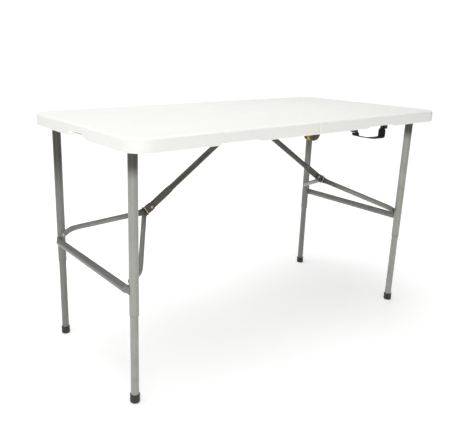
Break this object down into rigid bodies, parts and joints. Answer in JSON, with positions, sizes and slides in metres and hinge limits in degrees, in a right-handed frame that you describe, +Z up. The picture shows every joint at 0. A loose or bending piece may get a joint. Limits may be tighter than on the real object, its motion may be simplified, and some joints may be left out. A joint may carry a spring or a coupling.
{
  "type": "folding table",
  "caption": "Rectangular fold-in-half table with a moulded plastic top on two braced folding tube leg frames.",
  "frame": {"origin": "on the floor, below the centre of the open table top", "axes": "+X towards the half with the handle, -Y towards the side with the handle, +Z up"},
  "size_m": [1.22, 0.61, 0.725],
  "materials": {
    "panel": "fine texture, off-white",
    "frame_paint": "grey powder coat, satin",
    "bracket": "dark grey powder coat",
    "cap": "black, matte",
    "screw": "zinc plated",
    "rivet": "dull",
    "wire": "drawn wire",
    "hinge": "bronze-brown coat",
    "sleeve": "yellow passivated",
    "strap": "black webbing",
    "strap_anchor": "black"
  },
  "bodies": {
    "left_half": {"left_top": "panel", "left_saddles": "bracket", "left_saddle_screws": "screw", "left_brace_bracket": "bracket", "left_brace_pin": "screw", "left_bracket_screws": "screw", "left_hinge_screws": "screw", "front_hinge_left_leaf": "hinge", "rear_hinge_left_leaf": "hinge", "front_hinge_pin": "screw", "rear_hinge_pin": "screw", "front_hinge_sleeve": "sleeve", "rear_hinge_sleeve": "sleeve"},
    "right_half": {"right_top": "panel", "right_saddles": "bracket", "right_saddle_screws": "screw", "right_brace_bracket": "bracket", "right_brace_pin": "screw", "right_bracket_screws": "screw", "right_hinge_screws": "screw", "front_hinge_right_leaf": "hinge", "rear_hinge_right_leaf": "hinge", "handle_anchors": "strap_anchor", "handle_screws": "screw"},
    "left_leg_frame": {"left_pivot_tube": "frame_paint", "left_front_upper_leg": "frame_paint", "left_rear_upper_leg": "frame_paint", "left_crossbar": "frame_paint", "left_leg_rivets": "rivet"},
    "left_front_extension": {"left_front_lower_leg": "frame_paint", "left_front_foot_cap": "cap"},
    "left_rear_extension": {"left_rear_lower_leg": "frame_paint", "left_rear_foot_cap": "cap"},
    "left_strut": {"left_front_strut_arm": "frame_paint", "left_rear_strut_arm": "frame_paint", "left_joint_rivets": "rivet"},
    "left_brace_arm": {"left_brace": "frame_paint"},
    "left_ring": {"left_lock_ring": "wire"},
    "right_leg_frame": {"right_pivot_tube": "frame_paint", "right_front_upper_leg": "frame_paint", "right_rear_upper_leg": "frame_paint", "right_crossbar": "frame_paint", "right_leg_rivets": "rivet"},
    "right_front_extension": {"right_front_lower_leg": "frame_paint", "right_front_foot_cap": "cap"},
    "right_rear_extension": {"right_rear_lower_leg": "frame_paint", "right_rear_foot_cap": "cap"},
    "right_strut": {"right_front_strut_arm": "frame_paint", "right_rear_strut_arm": "frame_paint", "right_joint_rivets": "rivet"},
    "right_brace_arm": {"right_brace": "frame_paint"},
    "right_ring": {"right_lock_ring": "wire"},
    "handle": {"carry_handle": "strap"}
  },
  "joints": [
    {"name": "left_leg_fold", "type": "hinge", "parent": "left_half", "child": "left_leg_frame", "pos_m": [-0.563, 0, 0.694], "axis": [0, -1, 0], "range_deg": [0, 88]},
    {"name": "left_strut_turn", "type": "hinge", "parent": "left_leg_frame", "child": "left_strut", "pos_m": [-0.563, 0, 0.347], "axis": [0, -1, 0], "range_deg": [0, 60.5]},
    {"name": "left_brace_turn", "type": "hinge", "parent": "left_half", "child": "left_brace_arm", "pos_m": [-0.026, 0, 0.692], "axis": [0, 1, 0], "range_deg": [0, 33.3]},
    {"name": "left_front_leg_slide", "type": "slide", "parent": "left_leg_frame", "child": "left_front_extension", "axis": [0, 0, 1], "range_m": [0, 0.2155]},
    {"name": "left_rear_leg_slide", "type": "slide", "parent": "left_leg_frame", "child": "left_rear_extension", "axis": [0, 0, 1], "range_m": [0, 0.2155]},
    {"name": "left_lock_slide", "type": "slide", "parent": "left_strut", "child": "left_ring", "axis": [0.861, 0, 0.5086], "range_m": [0, 0.03]},
    {"name": "right_leg_fold", "type": "hinge", "parent": "right_half", "child": "right_leg_frame", "pos_m": [0.563, 0, 0.694], "axis": [0, 1, 0], "range_deg": [0, 88]},
    {"name": "right_strut_turn", "type": "hinge", "parent": "right_leg_frame", "child": "right_strut", "pos_m": [0.563, 0, 0.347], "axis": [0, 1, 0], "range_deg": [0, 60.5]},
    {"name": "right_brace_turn", "type": "hinge", "parent": "right_half", "child": "right_brace_arm", "pos_m": [0.026, 0, 0.692], "axis": [0, -1, 0], "range_deg": [0, 33.3]},
    {"name": "right_front_leg_slide", "type": "slide", "parent": "right_leg_frame", "child": "right_front_extension", "axis": [0, 0, 1], "range_m": [0, 0.2155]},
    {"name": "right_rear_leg_slide", "type": "slide", "parent": "right_leg_frame", "child": "right_rear_extension", "axis": [0, 0, 1], "range_m": [0, 0.2155]},
    {"name": "right_lock_slide", "type": "slide", "parent": "right_strut", "child": "right_ring", "axis": [-0.861, 0, 0.5086], "range_m": [0, 0.03]},
    {"name": "top_fold", "type": "hinge", "parent": "left_half", "child": "right_half", "pos_m": [0, 0, 0.68], "axis": [0, 1, 0], "range_deg": [0, 70]},
    {"name": "handle_swing", "type": "hinge", "parent": "right_half", "child": "handle", "pos_m": [0.267, -0.276, 0.686], "axis": [-1, 0, 0], "range_deg": [-40, 40]}
  ],
  "couplings": [
    {"joint": "left_strut_turn", "follows": "left_leg_fold", "ratio": 0.68546},
    {"joint": "left_brace_turn", "follows": "left_leg_fold", "ratio": 0.37596},
    {"joint": "left_front_leg_slide", "follows": "left_leg_fold", "m_per_rad": 0.14},
    {"joint": "left_rear_leg_slide", "follows": "left_leg_fold", "m_per_rad": 0.14},
    {"joint": "right_strut_turn", "follows": "right_leg_fold", "ratio": 0.68546},
    {"joint": "right_brace_turn", "follows": "right_leg_fold", "ratio": 0.37596},
    {"joint": "right_front_leg_slide", "follows": "right_leg_fold", "m_per_rad": 0.14},
    {"joint": "right_rear_leg_slide", "follows": "right_leg_fold", "m_per_rad": 0.14}
  ]
}
